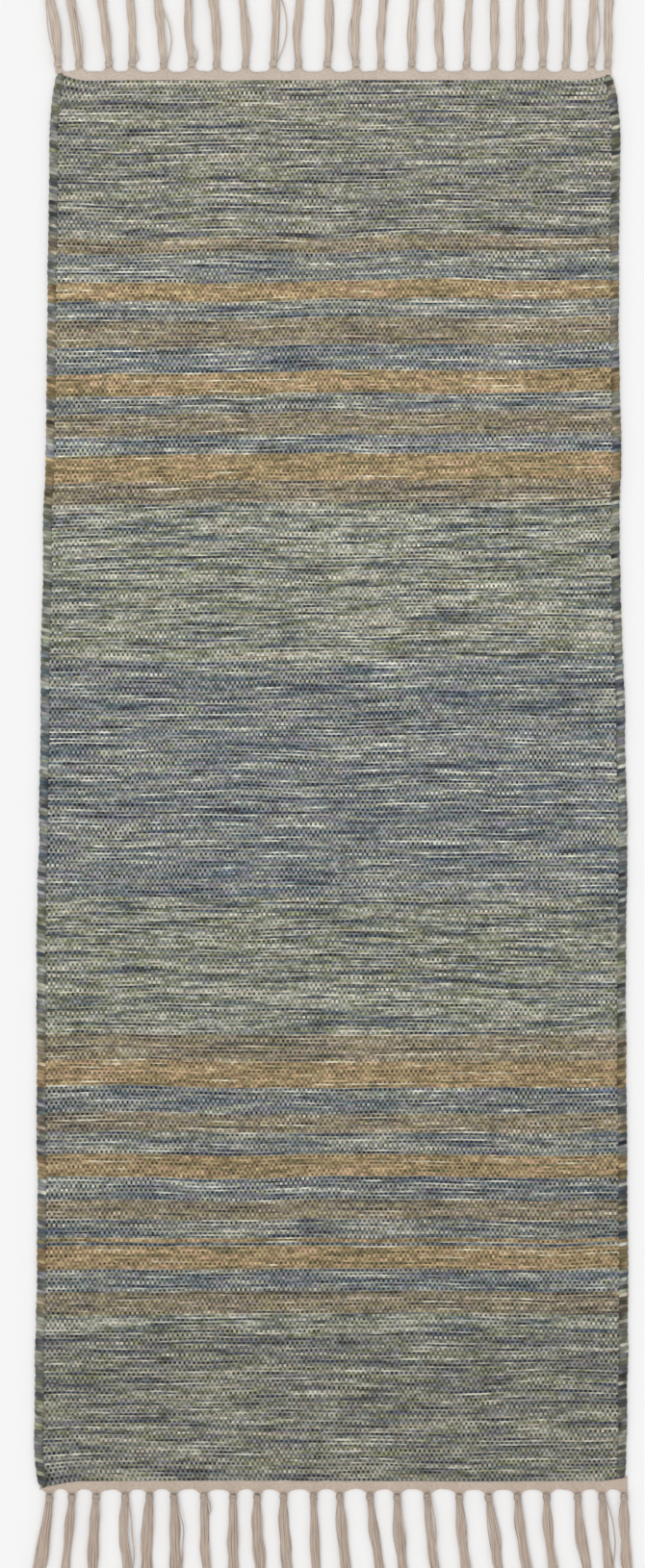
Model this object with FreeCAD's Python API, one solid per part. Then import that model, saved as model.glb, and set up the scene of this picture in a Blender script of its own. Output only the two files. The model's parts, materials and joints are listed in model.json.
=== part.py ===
"""Flat-woven cotton runner rug, lying flat, with a knotted fringe at both ends.

Frame: +X across the rug, +Y along it towards the end that was woven last, +Z up.
The origin is the centre of the underside, on the floor. Millimetres.

The cloth is cut into seven lengths that are joined at fold lines, because it bends
anywhere along its length. Each length is a weave panel with a selvedge down each side.
A cotton heading closes each end, and the warp ends beyond it are tied into tassels,
each with its own overhand knot.
"""
import FreeCAD, Part
import math
import os

# Driving dimensions of the cloth
woven_length = 1476.0          # outer edge of one heading to outer edge of the other
start_width = 612.0            # at the end that was woven first, selvedges included
finish_width = 598.0           # at the end that was woven last, before its corners draw in
weave_thickness = 4.2
selvedge_width = 9.0
selvedge_thickness = 5.0
heading_depth = 12.0
heading_thickness = 3.0
heading_inset = 3.0            # the heading stops this far short of the cloth's side

# The corners are pulled in by the tight heading
corner_reach = 45.0
finish_draw_in = 4.5           # each side
start_draw_in = 0.5

# Fold lines
panel_count = 7
fold_gap = 0.6

# Fringe
fringe_end = 838.0             # from the rug's centre to the tassels' tips
knot_radius = 4.2
knot_width = 10.0
knot_edge_chamfer = 1.4
knot_clearance = 0.4           # from the heading's neck to the knot
neck_width = 7.0               # the heading's tongue that runs into each knot
scallop_depth = 3.5            # hollow between two tongues
root_bury = 2.0                # the bundle starts this far outside the knot's centre
bundle_root = (8.0, 5.6)       # width, thickness
bundle_middle = (11.0, 6.4)
bundle_tip = (14.0, 7.2)
bundle_middle_place = 0.35     # share of the way from the root to the tip
bundle_sides = 12              # flats round the bundle
start_fringe_reach = 315.0     # side of the outermost starting tassels, at their tips

# Spaces between neighbouring tassels, from -X to +X: they are tied by eye, so uneven
finish_first_tassel = -285.0
finish_spaces = (22, 31, 24, 33, 29, 26, 30, 29, 26, 30, 30,
                 26, 32, 30, 27, 29, 25, 25, 24, 27, 17)
start_first_tassel = -291.0
start_spaces = (23, 25, 30, 25, 25, 31, 30, 25, 27, 31, 27,
                31, 28, 31, 33, 30, 30, 30, 32, 25, 23)

# How far each tip lies to the side of its own knot
finish_leans = (-14, -13, -9, -3, -6, -3, -4, -5, 2, 3, 1,
                2, 5, 1, -2, 3, 1, 3, 1, 2, 4, 3)
start_leans = (0, -9, -5, 3, -2, 4, 6, 2, 5, 7, 4,
               9, 11, 8, 12, 10, 13, 12, 10, 11, 9, 0)

half_woven = woven_length / 2
half_field = half_woven - heading_depth
panel_length = 2 * half_field / panel_count
knot_centre_y = half_woven + knot_clearance + knot_radius


def half_width(y):
    """Half the cloth's width at y: a slight taper, and drawn-in corners."""
    share = (y + half_field) / (2 * half_field)
    half = (start_width + (finish_width - start_width) * share) / 2
    into_corner = max(0.0, (abs(y) - (half_field - corner_reach)) / corner_reach)
    draw_in = finish_draw_in if y > 0 else start_draw_in
    return half - draw_in * into_corner ** 2


def vector(x, y, z=0.0):
    return FreeCAD.Vector(x, y, z)


def stations(low, high):
    """Places along Y where a panel's outline changes direction."""
    corner = half_field - corner_reach
    turns = [-half_field + corner_reach / 3, -corner, corner, half_field - corner_reach / 3]
    return [low] + [y for y in turns if low < y < high] + [high]


def weave_panel(low, high):
    """A flat panel of cloth between its two selvedges."""
    places = stations(low, high)
    right = [vector(half_width(y) - selvedge_width, y) for y in places]
    left = [vector(selvedge_width - half_width(y), y) for y in reversed(places)]
    outline = Part.makePolygon(right + left + right[:1])
    return Part.Face(outline).extrude(vector(0, 0, weave_thickness))


def selvedge_section(side, y):
    """A flat band with a round outer edge."""
    radius = selvedge_thickness / 2
    inner = side * (half_width(y) - selvedge_width)
    outer = side * half_width(y)
    bend = side * (half_width(y) - radius)
    low_inner = vector(inner, y, 0)
    low_bend = vector(bend, y, 0)
    high_bend = vector(bend, y, selvedge_thickness)
    high_inner = vector(inner, y, selvedge_thickness)
    return Part.Wire([
        Part.LineSegment(low_inner, low_bend).toShape(),
        Part.Arc(low_bend, vector(outer, y, radius), high_bend).toShape(),
        Part.LineSegment(high_bend, high_inner).toShape(),
        Part.LineSegment(high_inner, low_inner).toShape(),
    ])


def selvedges(low, high):
    """The two bands of thick edge cords beside one panel."""
    bands = []
    for side in (-1, 1):
        sections = [selvedge_section(side, y) for y in stations(low, high)]
        bands.append(Part.makeLoft(sections, True, True))
    return Part.makeCompound(bands)


def tassel_places(first, spaces):
    """X of every knot along one end."""
    places = [first]
    for space in spaces:
        places.append(places[-1] + space)
    return places


def heading(end, places):
    """The cotton band at one end, scalloped between the tongues that feed the knots."""
    inner_y = end * half_field
    neck_y = end * half_woven
    hollow_y = end * (half_woven - scallop_depth)
    half = half_width(inner_y) - heading_inset
    edges = []
    here = vector(-half, hollow_y)
    for x in places:
        neck_left = vector(x - neck_width / 2, neck_y)
        neck_right = vector(x + neck_width / 2, neck_y)
        if x == places[0]:
            edges.append(Part.LineSegment(here, neck_left))
        else:
            hollow = vector((here.x + neck_left.x) / 2, hollow_y)
            edges.append(Part.Arc(here, hollow, neck_left))
        edges.append(Part.LineSegment(neck_left, neck_right))
        here = neck_right
    corners = [here, vector(half, hollow_y), vector(half, inner_y),
               vector(-half, inner_y), vector(-half, hollow_y)]
    edges += [Part.LineSegment(a, b) for a, b in zip(corners, corners[1:])]
    outline = Part.Wire([edge.toShape() for edge in edges])
    return Part.Face(outline).extrude(vector(0, 0, heading_thickness))


def bundle_section(size, x, y, z):
    """An oval across the run of the strands, with a flat below."""
    corners = []
    for side in range(bundle_sides):
        turn = 2 * math.pi * (side + 0.5) / bundle_sides
        corners.append(vector(x + size[0] / 2 * math.cos(turn), y, z + size[1] / 2 * math.sin(turn)))
    return Part.makePolygon(corners + corners[:1])


def tassel(end, x, lean):
    """One overhand knot and the loose bundle of warp ends below it."""
    knot_centre = vector(x - knot_width / 2, end * knot_centre_y, knot_radius)
    knot = Part.makeCylinder(knot_radius, knot_width, knot_centre, vector(1, 0, 0))
    knot = knot.makeChamfer(knot_edge_chamfer, [e for e in knot.Edges if len(e.Vertexes) == 1])
    root_y = knot_centre_y + root_bury
    middle_y = root_y + (fringe_end - root_y) * bundle_middle_place
    bundle = Part.makeLoft([
        bundle_section(bundle_root, x, end * root_y, knot_radius),
        bundle_section(bundle_middle, x + lean * bundle_middle_place ** 1.5, end * middle_y,
                       (knot_radius + bundle_middle[1] / 2) / 2),
        bundle_section(bundle_tip, x + lean, end * fringe_end, bundle_tip[1] / 2),
    ], True, True)
    return knot.fuse(bundle).removeSplitter()


def panel_names():
    """From the starting end to the finishing end, as a weaver works."""
    side = panel_count // 2
    starting = [f"start_{n}" for n in range(side, 0, -1)]
    finishing = [f"finish_{n}" for n in range(1, side + 1)]
    return starting + ["middle"] + finishing


def cloth_nodes():
    nodes = {}
    for index, name in enumerate(panel_names()):
        low = -half_field + index * panel_length
        high = low + panel_length
        if index > 0:
            low += fold_gap / 2
        if index < panel_count - 1:
            high -= fold_gap / 2
        nodes[f"weave_{name}"] = weave_panel(low, high)
        nodes[f"selvedges_{name}"] = selvedges(low, high)
    return nodes


def fringe_nodes(end_name, end, places, leans):
    nodes = {f"heading_{end_name}": heading(end, places)}
    for number, (x, lean) in enumerate(zip(places, leans), start=1):
        nodes[f"tassel_{end_name}_{number:02d}"] = tassel(end, x, lean)
    return nodes


def level_outer_leans(places, leans):
    """The two outermost starting tassels reach equally far to either side."""
    reach = start_fringe_reach - bundle_tip[0] / 2
    return (-reach - places[0],) + leans[1:-1] + (reach - places[-1],)


def main():
    finish_places = tassel_places(finish_first_tassel, finish_spaces)
    start_places = tassel_places(start_first_tassel, start_spaces)
    nodes = cloth_nodes()
    nodes.update(fringe_nodes("finish", 1, finish_places, finish_leans))
    nodes.update(fringe_nodes("start", -1, start_places,
                              level_outer_leans(start_places, start_leans)))
    os.makedirs("parts", exist_ok=True)
    for name, shape in nodes.items():
        if not shape.isValid():
            raise ValueError(f"{name} isn't a valid solid")
        shape.exportStep(f"parts/{name}.step")
    area = math.fsum(shape.BoundBox.XLength * shape.BoundBox.YLength
                     for name, shape in nodes.items() if name.startswith("weave"))
    volume = math.fsum(shape.Volume for shape in nodes.values())
    print(len(nodes), "nodes, cloth", round(area / 1e6, 3), "m2, volume", round(volume / 1e6, 3), "litres")
    print("knot centres at y", knot_centre_y, "z", knot_radius, "folds every", panel_length)
    print("finish knots", finish_places)
    print("start knots", start_places)


main()
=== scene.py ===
"""The looks of a flat-woven cotton runner rug with melange stripes and a knotted fringe.

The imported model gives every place: panels, selvedges, headings, tassels and fold lines.
Lengths are in metres. +X runs across the rug, +Y towards the end that was woven last.
The cloth's own map, named "cloth", holds the flat distance across and along the rug, so
that the rows of filling stay on the yarn when the cloth bends.
"""
import bmesh
import bpy
import json
import math
import numpy as np
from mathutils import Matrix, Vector

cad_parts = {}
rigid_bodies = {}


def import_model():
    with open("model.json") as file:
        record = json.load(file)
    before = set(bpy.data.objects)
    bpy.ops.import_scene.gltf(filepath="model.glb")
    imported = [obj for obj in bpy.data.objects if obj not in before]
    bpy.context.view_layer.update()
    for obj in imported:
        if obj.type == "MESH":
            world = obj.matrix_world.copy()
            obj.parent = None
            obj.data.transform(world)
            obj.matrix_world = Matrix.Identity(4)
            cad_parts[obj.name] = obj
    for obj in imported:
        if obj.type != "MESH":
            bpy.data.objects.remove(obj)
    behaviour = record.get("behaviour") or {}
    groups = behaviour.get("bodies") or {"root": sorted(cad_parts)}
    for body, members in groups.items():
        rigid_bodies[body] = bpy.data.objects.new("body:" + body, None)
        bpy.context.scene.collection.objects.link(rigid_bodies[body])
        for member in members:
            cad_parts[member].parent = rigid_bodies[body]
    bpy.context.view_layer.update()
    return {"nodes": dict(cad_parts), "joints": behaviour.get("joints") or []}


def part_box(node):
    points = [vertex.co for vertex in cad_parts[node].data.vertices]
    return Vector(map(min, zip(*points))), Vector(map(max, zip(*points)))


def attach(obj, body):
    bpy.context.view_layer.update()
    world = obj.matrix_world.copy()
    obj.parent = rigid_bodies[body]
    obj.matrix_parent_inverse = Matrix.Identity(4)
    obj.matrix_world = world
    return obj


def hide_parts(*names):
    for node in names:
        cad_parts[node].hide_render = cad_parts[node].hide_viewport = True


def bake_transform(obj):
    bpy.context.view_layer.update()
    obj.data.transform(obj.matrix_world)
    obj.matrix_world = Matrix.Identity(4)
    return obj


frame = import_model()

MM = 0.001

# ---------------------------------------------------------------- the weave's own sizes
ROW_PITCH = 3.9 * MM           # one row of filling, as it is beaten up
END_PITCH = 2.45 * MM          # one warp end
SLUB_TONE = 0.38               # how much a strand lightens and darkens over a centimetre
STRAND_LEAN = 0.08             # strands between the rows lean this far to their mix's lighter yarns, those in the crossing strip to its darker ones
STRIP_HALF = 0.29              # half of a row's height that shows crossings, as a share of it
STRIP_SPREAD = 0.07            # thick and thin places of the filling change that share
DIP_PAINTED_SHADE = 0.97               # painted shade: how much darker the filling is painted where it dips under an end
CROWN_PAINTED_HIGHLIGHT = 0.26             # painted highlight: how much lighter it is painted on top of one
OCHRE_FILL = 0.10              # the thicker ochre filling hides this much of its own dips: its painted dip shade, crown highlight and dip bump weaken by this, times its share squared
BLUE_DIP = 0.18                # the thin blue filling dips deeper by this much: its painted dip shade, crown highlight and dip bump grow by this, times its share
STRIPE_MIX = 1.1               # rows of two stripes mingle this many rows either side of the line
DYE_DRIFT = 0.30               # the share of blue wanders by this much along a row
WEAVE_RELIEF = 0.52 * MM       # crown of a float above the mean surface
SURFACE_WAVE = 0.5 * MM        # slow unevenness of the cloth lying on the floor
ROW_WANDER = 2.4 * MM          # how far a row strays from straight, at most
ROW_SLOPE = 0.012              # the rows rise to the right by this much, near the finish
WARP_WANDER = 1.0 * MM         # and how far a warp end strays sideways
CORNER_RUN = 40.0 * MM         # the last rows climb or sag over this length at the corners
CORNER_CURVE = (1.6, 1.4)      # how late the climb sets in, across and along
DRAW_RUN = 45.0 * MM           # the edge draws in over this length
EDGE_WANDER = 0.7 * MM         # small unevenness of the edge
EDGE_CALM = 30.0 * MM          # warp ends lie straighter this near to the edge
END_CALM = 20.0 * MM           # rows lie straighter this near to the heading
END_CALM_LEAST = 0.25          # down to this share of their wandering
SLOPE_PLACE = (0.40, 0.42)     # the slope is steepest at the first, and gone this far from it

# Slow patterns in the cloth: size across, size along, and a seed
ROW_WAVE = (0.11, 0.07, 3)
ROW_RIPPLE = (0.045, 0.02, 4)
ROW_WAVE_SHARES = (0.75, 0.35)
WARP_WAVE = (0.05, 0.16, 12)
FLOOR_WAVE = (0.09, 0.07, 9)
EDGE_WAVE = (0.035, 1.0, 40)
HEM_WAVE = (0.008, 1.0, 21)

# Heights of the plain weave on its lattice, as shares of its relief
FLOAT = 1.0                    # filling over an end
DIP = -0.7                     # filling under an end
BESIDE = 0.3                   # filling between two ends
FURROW = -0.45                 # between two rows, on an end
PIT = -0.9                     # between two rows, between two ends

# ---------------------------------------------------------------- the fringe's own sizes
STRAND_RADIUS = 0.95 * MM      # one warp end, plied
BUNDLE_STRANDS = 22
KNOT_STRANDS = 4               # strands that show where the bundle is wrapped round itself
TONGUE_HALF = 2.9 * MM         # half the heading's tongue at the knot
TONGUE_RISE = 0.2 * MM         # the tongue climbs this far into the knot
HOLLOW_DEPTH = 3.5 * MM        # how far the heading is hollowed between two tongues
HOLLOW_SHAPE = {"finish": 5, "start": 3}   # a higher number makes a squarer hollow
KNOT_PAINTED_SHADE = 0.86              # painted shade: the knots and the roots of the tassels are painted a shade darker by this

# ---------------------------------------------------------------- where the cloth bends
HINGE_REACH = 32.0 * MM        # a crossing piece reaches this far from the line


# ================================================================ numbers from the frame
def cad_points(node):
    """A CAD node's vertices as rows of x, y, z."""
    mesh = frame["nodes"][node].data
    points = np.zeros(len(mesh.vertices) * 3)
    mesh.vertices.foreach_get("co", points)
    return points.reshape(-1, 3)


def cloth_outline():
    """(places along Y, half the cloth's width there), from the selvedges' outer edges."""
    found = {}
    for node in frame["nodes"]:
        if node.startswith("selvedges_"):
            for x, y, _ in cad_points(node):
                key = round(float(y), 4)
                found[key] = max(found.get(key, 0.0), float(x))
    places = sorted(found)
    return np.array(places), np.array([found[y] for y in places])


OUTLINE = cloth_outline()
FIELD_END = float(OUTLINE[0][-1])
SELVEDGE_WIDTH = float(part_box("selvedges_middle")[1].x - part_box("weave_middle")[1].x)
SELVEDGE_THICKNESS = float(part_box("selvedges_middle")[1].z)
CLOTH_TOP = float(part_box("weave_middle")[1].z)
HEADING_END = float(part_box("heading_finish")[1].y)
HEADING_THICKNESS = float(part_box("heading_finish")[1].z)
FRINGE_END = float(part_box("tassel_finish_01")[1].y)
MEAN_HALF = float(OUTLINE[1].mean())
FIELD_WIDTH = 2 * (MEAN_HALF - SELVEDGE_WIDTH)
ENDS = 2 * round(FIELD_WIDTH / END_PITCH / 2)
ROWS = 2 * round(2 * FIELD_END / ROW_PITCH / 2)
SIDES = {"finish": 1, "start": -1}
# Each corner, by its side and its end: how far the last rows climb there, the width of cloth
# that climbs, and how far the edge draws in
CORNERS = {
    (-1, 1): (10.0 * MM, 32.0 * MM, 2.5 * MM),
    (1, 1): (6.5 * MM, 26.0 * MM, 2.5 * MM),
    (-1, -1): (8.0 * MM, 46.0 * MM, 5.5 * MM),
    (1, -1): (-4.0 * MM, 30.0 * MM, 0.5 * MM),
}
# Slack and tight stretches of the edges: place along the rug, reach, and how far out
STRETCHES = {
    -1: [(0.72, 0.30, -5.8 * MM), (0.42, 0.24, -4.4 * MM), (0.20, 0.10, -1.2 * MM),
         (-0.20, 0.24, 2.4 * MM), (-0.74, 0.22, 2.6 * MM)],
    1: [(-0.05, 0.20, 2.6 * MM), (0.45, 0.22, -2.4 * MM), (0.22, 0.14, -3.4 * MM),
        (-0.74, 0.20, -2.4 * MM)],
}
FOLDS = {j["child"]: j for j in frame["joints"] if j["name"].startswith("fold_")}


def row_at(y):
    """The nearest lattice line (two to each row of filling) to a place along the flat cloth."""
    return int(round((y + FIELD_END) / (2 * FIELD_END) * 2 * ROWS))


def flat_y(line):
    """Place along the flat cloth of a lattice line."""
    return -FIELD_END + np.asarray(line) / (2 * ROWS) * 2 * FIELD_END


# ================================================================ slow unevenness
def soft_noise(x, y, cell_x, cell_y, seed):
    """Smooth noise from -1 to 1 on a grid of random values cell_x by cell_y apart."""
    grid = np.random.default_rng(seed).uniform(-1, 1, (64, 64))
    gx = np.asarray(x) / cell_x + 20
    gy = np.asarray(y) / cell_y + 20
    ix = np.floor(gx).astype(int)
    iy = np.floor(gy).astype(int)
    fx = gx - ix
    fy = gy - iy
    fx = fx * fx * (3 - 2 * fx)
    fy = fy * fy * (3 - 2 * fy)

    def at(dx, dy):
        return grid[(iy + dy) % 64, (ix + dx) % 64]

    near = at(0, 0) * (1 - fx) + at(1, 0) * fx
    far = at(0, 1) * (1 - fx) + at(1, 1) * fx
    return near * (1 - fy) + far * fy


def hump(y, middle, reach):
    """A smooth rise to 1 at middle that is over at reach to either side."""
    t = np.clip(1 - np.abs(np.asarray(y) - middle) / reach, 0, 1)
    return t * t * (3 - 2 * t)


def edge_at(y, side):
    """X of the cloth's edge: the outline, with the slack and tight stretches of handwork."""
    y = np.asarray(y)
    half = np.interp(y, *OUTLINE)
    cell_x, cell_y, seed = EDGE_WAVE
    half = half + EDGE_WANDER * soft_noise(y, 0 * y, cell_x, cell_y, seed + side)
    for place, reach, out in STRETCHES[side]:
        half = half + out * hump(y, place, reach)
    for sign in SIDES.values():
        near = np.clip((sign * y - (FIELD_END - DRAW_RUN)) / DRAW_RUN, 0, 1)
        half = half - CORNERS[side, sign][2] * near ** 2
    return side * half


def row_shift(u, y):
    """How far a row of filling lies from its straight place."""
    wave = ROW_WAVE_SHARES[0] * soft_noise(u, y, *ROW_WAVE)
    wave = wave + ROW_WAVE_SHARES[1] * soft_noise(u, y, *ROW_RIPPLE)
    ends = np.clip((FIELD_END - np.abs(y)) / END_CALM, END_CALM_LEAST, 1)
    shift = ROW_WANDER * wave * ends + ROW_SLOPE * u * hump(y, *SLOPE_PLACE)
    for (side, sign), (climb, span, _) in CORNERS.items():
        across = np.clip((side * u - (MEAN_HALF - span)) / span, 0, 1) ** CORNER_CURVE[0]
        into = np.clip((sign * y - (FIELD_END - CORNER_RUN)) / CORNER_RUN, 0, 1) ** CORNER_CURVE[1]
        shift = shift + sign * climb * across * into
    return shift


def place_on_cloth(u, y):
    """Real X and Y of a point that lies u across and y along the flat cloth."""
    left = edge_at(y, -1)
    right = edge_at(y, 1)
    share = (u + MEAN_HALF) / (2 * MEAN_HALF)
    inside = np.clip((MEAN_HALF - np.abs(u)) / EDGE_CALM, 0, 1)
    stray = WARP_WANDER * soft_noise(u, y, *WARP_WAVE) * inside
    return left + (right - left) * share + stray, y + row_shift(u, y)


# ================================================================ mesh helpers
WELD = 1e-7                    # points nearer than this are one


def new_piece(name, bm, material, body=None):
    """A finished bmesh as an object with its slot and material, riding on a body."""
    mesh = bpy.data.meshes.new(name)
    bm.to_mesh(mesh)
    bm.free()
    piece = bpy.data.objects.new(name, mesh)
    bpy.context.scene.collection.objects.link(piece)
    mesh.materials.append(material)
    mesh.shade_smooth()
    if body:
        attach(piece, body)
    return piece


def grid_pair(columns, lines):
    """Two matching grids, one facing up and one down, joined round their rims.

    Vertices keep whole-number places: column, line, and 0 below or 1 above.
    """
    bm = bmesh.new()
    bmesh.ops.create_grid(bm, x_segments=columns, y_segments=lines, size=0.5)
    bmesh.ops.scale(bm, vec=(columns, lines, 1), verts=bm.verts)
    bmesh.ops.translate(bm, vec=(columns / 2, lines / 2, 1), verts=bm.verts)
    below = bmesh.ops.duplicate(bm, geom=bm.verts[:] + bm.edges[:] + bm.faces[:])["geom"]
    faces = [g for g in below if isinstance(g, bmesh.types.BMFace)]
    points = [g for g in below if isinstance(g, bmesh.types.BMVert)]
    bmesh.ops.translate(bm, vec=(0, 0, -1), verts=points)
    bmesh.ops.reverse_faces(bm, faces=faces)
    rims = [edge for edge in bm.edges if edge.is_boundary]
    bmesh.ops.bridge_loops(bm, edges=rims)
    return bm


def lattice(bm):
    """Column, line and layer of every vertex of a grid_pair, as whole numbers."""
    places = np.array([v.co[:] for v in bm.verts])
    return np.rint(places).astype(int).T


def set_places(piece, x, y, z):
    """Moves every vertex to its place."""
    piece.data.vertices.foreach_set("co", np.stack([x, y, z], axis=1).astype(np.float32).ravel())
    piece.data.update()


def set_map(piece, u, v):
    """Writes the cloth's own map, given for each vertex."""
    mesh = piece.data
    index = np.zeros(len(mesh.loops), np.int32)
    mesh.loops.foreach_get("vertex_index", index)
    layer = mesh.uv_layers.new(name="cloth")
    layer.data.foreach_set("uv", np.stack([u[index], v[index]], axis=1).astype(np.float32).ravel())


def turn_outward(piece, rolled):
    """Turns the faces outward; a rolled strip first has its seam welded and its ends closed."""
    bm = bmesh.new()
    bm.from_mesh(piece.data)
    if rolled:
        bmesh.ops.remove_doubles(bm, verts=bm.verts, dist=WELD)
        bmesh.ops.holes_fill(bm, edges=[edge for edge in bm.edges if edge.is_boundary])
    bmesh.ops.recalc_face_normals(bm, faces=bm.faces)
    bm.to_mesh(piece.data)
    bm.free()
    piece.data.shade_smooth()


# ================================================================ materials
NOISE_SPAN = (0.3, 0.7)        # smooth noise seldom leaves this span
WIDE_SPAN = (0.25, 0.75)       # nor this one

# Patterns of the yarn: steps to the metre along the filling, the step from one row or strand to
# the next, and a layer that keeps the patterns apart
RUNS = (13.0, 7.31, 0.0)       # dyed runs
SLUBS = (125.0, 7.31, 6.0)     # thick and thin places of a strand
THROWS = (1.7, 2.17, 3.0)      # lighter and darker lengths of a row
DYE_PATCHES = (5.0, 0.6, 11.0)
THICKNESS = (30.0, 1.7, 5.0)   # how wide the crossings show
FIRMNESS = (16.0, 0.9, 9.0)    # how firmly a row is beaten up, which scales the painted dip shade, the painted crown highlight and the dips' bump
CELLS = (3.7, 5.3, 2.0)        # one crossing to the next
FIBRE = (420.0, 1500.0, 0.0)
EDGE_FIBRE = (500.0, 1500.0, 0.0)
EDGE_TURNS = (5.77, 40.0, 8.0)
COTTON_PATCHES = (45.0, 25.0, 4.0)
MINGLE_STEP = 5.1
MINGLE_LAYER = 17.0

RUN_SPAN = (0.27, 0.73)        # spreads the runs over all yarns of a mix
THROW_TONE = 0.12
FIBRE_TONE = (0.84, 1.14)
CROSSING_LANE = 0.3            # even lanes of noise are the strands that cross the ends
SMOOTH_LANE = 1.3              # odd ones are the strands that lie between the rows
STRIP_BLUR = 0.07              # softness of a strip's border
DIP_PLACE = 0.75               # of one turn of the filling: where it is under an end
CROWN_PLACE = 0.25             # and where it is over one
DIP_SPAN = (0.27, 0.15)
CROWN_SPAN = (0.27, 0.10)
FIRM_LEAST = 0.55
CELL_LEAST = 0.7
GROOVE_SPAN = (0.44, 0.5)      # the groove between two rows, as distance from a row's middle; painted shade darkens it
# painted shade: how much darker the groove is painted
GROOVE_PAINTED_SHADE = 0.15
CROWN_CREAM_HIGHLIGHT = 0.18              # painted highlight on the crowns, in the unbleached end's cream: they are mixed this far towards it
FIBRE_RELIEF = 0.3
DIP_RELIEF = 0.7
SHEEN = 0.15


class Nodes:
    """Short calls for building a node tree."""

    def __init__(self, name):
        self.material = bpy.data.materials.new(name)
        self.material.use_nodes = True
        self.tree = self.material.node_tree
        self.tree.nodes.clear()

    def add(self, kind, **settings):
        node = self.tree.nodes.new(kind)
        for key, value in settings.items():
            setattr(node, key, value)
        return node

    def plug(self, socket, value):
        if isinstance(value, bpy.types.NodeSocket):
            self.tree.links.new(value, socket)
        elif value is not None:
            socket.default_value = value

    def math(self, operation, a, b=None, clamp=False):
        node = self.add("ShaderNodeMath", operation=operation, use_clamp=clamp)
        for socket, value in zip(node.inputs, (a, b)):
            self.plug(socket, value)
        return node.outputs[0]

    def times(self, a, b):
        return self.math("MULTIPLY", a, b)

    def plus(self, a, b, clamp=False):
        return self.math("ADD", a, b, clamp)

    def minus(self, a, b, clamp=False):
        return self.math("SUBTRACT", a, b, clamp)

    def apart(self, a, b):
        """Distance between two numbers."""
        return self.math("ABSOLUTE", self.minus(a, b))

    def ramp(self, factor, stops, interpolation="LINEAR"):
        """stops are (place, colour) from low to high."""
        node = self.add("ShaderNodeValToRGB")
        node.color_ramp.interpolation = interpolation
        elements = node.color_ramp.elements
        while len(elements) < len(stops):
            elements.new(1.0)
        for element, (place, colour) in zip(elements, stops):
            element.position = place
            element.color = (*colour, 1.0)
        self.plug(node.inputs[0], factor)
        return node.outputs[0]

    def smooth(self, value, low, high, out_low=0.0, out_high=1.0):
        """out_low where value is low, out_high where it is high, and an even curve between."""
        node = self.add("ShaderNodeMapRange", interpolation_type="SMOOTHSTEP")
        for socket, v in zip(node.inputs, (value, low, high, out_low, out_high)):
            self.plug(socket, v)
        return node.outputs[0]

    def mix(self, factor, a, b, blend="MIX"):
        node = self.add("ShaderNodeMix", data_type="RGBA", blend_type=blend)
        self.plug(node.inputs["Factor"], factor)
        self.plug(node.inputs[6], a)
        self.plug(node.inputs[7], b)
        return node.outputs[2]

    def noise(self, x, y, layer, detail=0.0):
        """Smooth noise over x and y; every layer is another pattern."""
        joined = self.add("ShaderNodeCombineXYZ")
        for socket, value in zip(joined.inputs, (x, y, layer)):
            self.plug(socket, value)
        node = self.add("ShaderNodeTexNoise", noise_dimensions="3D")
        self.plug(node.inputs["Vector"], joined.outputs[0])
        node.inputs["Scale"].default_value = 1.0
        node.inputs["Detail"].default_value = detail
        node.inputs["Roughness"].default_value = 0.5
        return node.outputs[0]

    def pattern(self, across, along, sizes, detail=0.0):
        """Noise whose sizes are (steps across, steps along, layer)."""
        return self.noise(self.times(across, sizes[0]), self.times(along, sizes[1]), sizes[2], detail)

    def grey(self, value):
        """One number as a colour."""
        node = self.add("ShaderNodeCombineColor")
        for socket in node.inputs:
            self.plug(socket, value)
        return node.outputs[0]

    def tinted(self, colour, tint):
        """A colour dyed over with another."""
        return self.mix(1.0, colour, tint, "MULTIPLY")

    def shaded(self, colour, value):
        """A colour made lighter or darker by a number."""
        return self.tinted(colour, self.grey(value))

    def cloth_map(self):
        """(across, along) sockets of the piece's own map."""
        uv = self.add("ShaderNodeUVMap", uv_map="cloth")
        split = self.add("ShaderNodeSeparateXYZ")
        self.plug(split.inputs[0], uv.outputs[0])
        return split.outputs[0], split.outputs[1]

    def surface(self, shader):
        """The finished material, with this shader on its surface."""
        out = self.add("ShaderNodeOutputMaterial")
        self.plug(out.inputs["Surface"], shader.outputs[0])
        return self.material

    def cloth_shader(self, colour, height, relief, roughness, sheen):
        """Matt cotton: base colour, a bump from height, and a soft sheen of loose fibre."""
        bump = self.add("ShaderNodeBump")
        bump.inputs["Strength"].default_value = 1.0
        bump.inputs["Distance"].default_value = relief
        self.plug(bump.inputs["Height"], height)
        shader = self.add("ShaderNodeBsdfPrincipled")
        self.plug(shader.inputs["Base Color"], colour)
        self.plug(shader.inputs["Roughness"], roughness)
        self.plug(shader.inputs["Normal"], bump.outputs[0])
        shader.inputs["Specular IOR Level"].default_value = 0.2
        shader.inputs["Sheen Weight"].default_value = sheen
        shader.inputs["Sheen Roughness"].default_value = 0.5
        return self.surface(shader)


def linear(*rgb):
    """A display colour, 0 to 255, as the light that it gives."""
    return tuple((c / 255 / 12.92) if c <= 10 else ((c / 255 + 0.055) / 1.055) ** 2.4 for c in rgb)


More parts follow.
